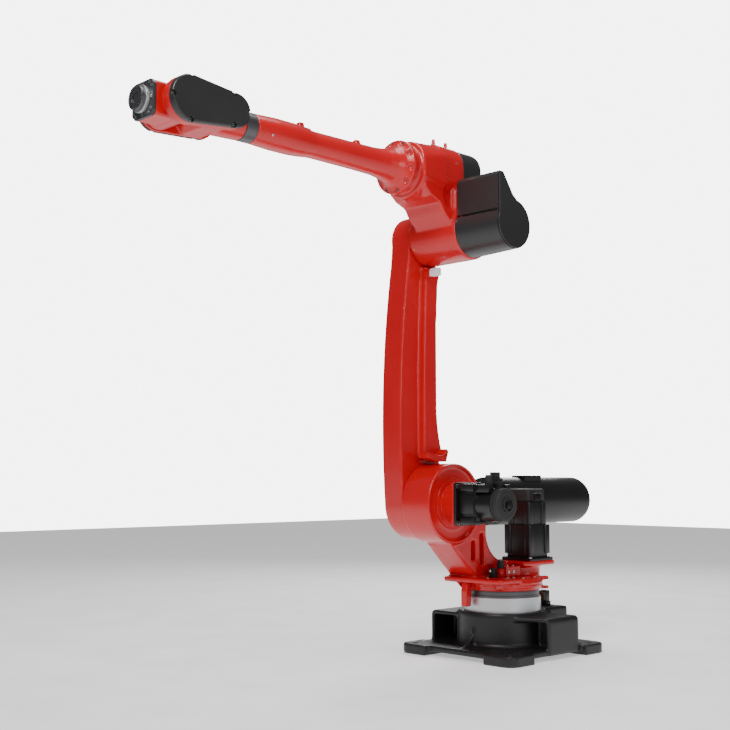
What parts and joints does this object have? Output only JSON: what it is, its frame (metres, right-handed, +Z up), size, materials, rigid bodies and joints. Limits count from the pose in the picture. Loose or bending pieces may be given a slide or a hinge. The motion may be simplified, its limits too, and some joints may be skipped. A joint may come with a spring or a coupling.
{
  "type": "industrial robot arm",
  "caption": "Floor-mounted six-axis robot arm with an upright lower arm, long slim forearm, belt-driven wrist and a spring balancer behind the shoulder.",
  "frame": {"origin": "turning axis of the turret, on the floor face of the base casting", "axes": "+X forward, towards the tool with the robot at rest; +Y to the robot's left; +Z up along the turning axis"},
  "size_m": [3.264, 0.813, 2.572],
  "materials": {
    "black_casting": "satin black paint over a sand casting",
    "red_paint": "semi-gloss red enamel over castings",
    "black_paint": "satin black paint",
    "black_cover": "satin black moulded cover",
    "black_plastic": "matt black plastic",
    "grey_paint": "dark grey satin",
    "ground_steel": "ground bright steel",
    "dark_steel": "dark machined steel",
    "rubber": "brown rubber",
    "white_plastic": "white plastic"
  },
  "bodies": {
    "base": {"base_casting": "black_casting", "bearing_ring": "ground_steel", "seal_band": "dark_steel", "base_stop": "black_casting", "base_stop_pad": "rubber", "connector_panel": "ground_steel", "power_connector": "black_plastic", "signal_connector": "black_plastic"},
    "turret": {"turret_casting": "red_paint", "turn_stop_finger": "red_paint", "shoulder_motor_mount": "red_paint", "shoulder_motor": "black_paint", "shoulder_motor_cap": "black_plastic", "shoulder_motor_plugs": "black_plastic", "turning_motor": "black_paint", "turning_motor_cap": "black_plastic", "turning_motor_plug": "black_plastic", "switch_mount": "red_paint", "limit_switch": "black_plastic", "balancer_bracket": "red_paint"},
    "balancer": {"balancer_cylinder": "black_paint", "balancer_head": "black_paint", "balancer_lug": "black_paint"},
    "balancer_rod": {"balancer_rod": "dark_steel"},
    "lower_arm": {"arm_casting": "red_paint", "shoulder_cover": "red_paint", "elbow_cover": "red_paint", "rod_pin": "ground_steel", "elbow_stop_bracket": "red_paint", "elbow_stop_bumper": "white_plastic", "arm_saddle_bracket": "red_paint"},
    "forearm": {"elbow_casting": "red_paint", "elbow_motor_cover": "black_cover", "elbow_motor_cover_plate": "black_cover", "forearm_motor_cover": "black_cover", "forearm_tube": "red_paint"},
    "wrist": {"wrist_band": "dark_steel", "wrist_yoke": "red_paint", "wrist_cover_left": "black_cover", "wrist_cover_right": "black_cover"},
    "wrist_tilt": {"wrist_tilt_housing": "red_paint", "wrist_front_plate": "grey_paint"},
    "tool": {"flange_ring": "ground_steel", "tool_flange": "dark_steel"}
  },
  "joints": [
    {"name": "turning", "type": "hinge", "parent": "base", "child": "turret", "pos_m": [0, 0, 0.322], "axis": [0, 0, 1], "range_deg": [-160, 160]},
    {"name": "shoulder", "type": "hinge", "parent": "turret", "child": "lower_arm", "pos_m": [0.365, -0.246, 0.76], "axis": [0, 1, 0], "range_deg": [-30, 75]},
    {"name": "elbow", "type": "hinge", "parent": "lower_arm", "child": "forearm", "pos_m": [0.365, 0, 2.11], "axis": [0, -1, 0], "range_deg": [-80, 85]},
    {"name": "forearm_roll", "type": "hinge", "parent": "forearm", "child": "wrist", "pos_m": [1.83, 0, 2.386], "axis": [1, 0, 0], "range_deg": [-180, 180]},
    {"name": "wrist_tilt", "type": "hinge", "parent": "wrist", "child": "wrist_tilt", "pos_m": [2.088, 0, 2.386], "axis": [0, -1, 0], "range_deg": [-95, 95]},
    {"name": "tool_roll", "type": "hinge", "parent": "wrist_tilt", "child": "tool", "pos_m": [2.2, 0, 2.386], "axis": [1, 0, 0], "range_deg": [-360, 360]},
    {"name": "balancer_swing", "type": "hinge", "parent": "turret", "child": "balancer", "pos_m": [-0.15, -0.246, 0.76], "axis": [0, 1, 0], "range_deg": [-19.5, 7.8]},
    {"name": "balancer_rod_swing", "type": "hinge", "parent": "lower_arm", "child": "balancer_rod", "pos_m": [0.215, -0.246, 0.76], "axis": [0, 1, 0], "range_deg": [-94.5, 37.8]}
  ],
  "couplings": [
    {"joint": "balancer_swing", "follows": "shoulder", "ratio": -0.26},
    {"joint": "balancer_rod_swing", "follows": "shoulder", "ratio": -1.26}
  ]
}
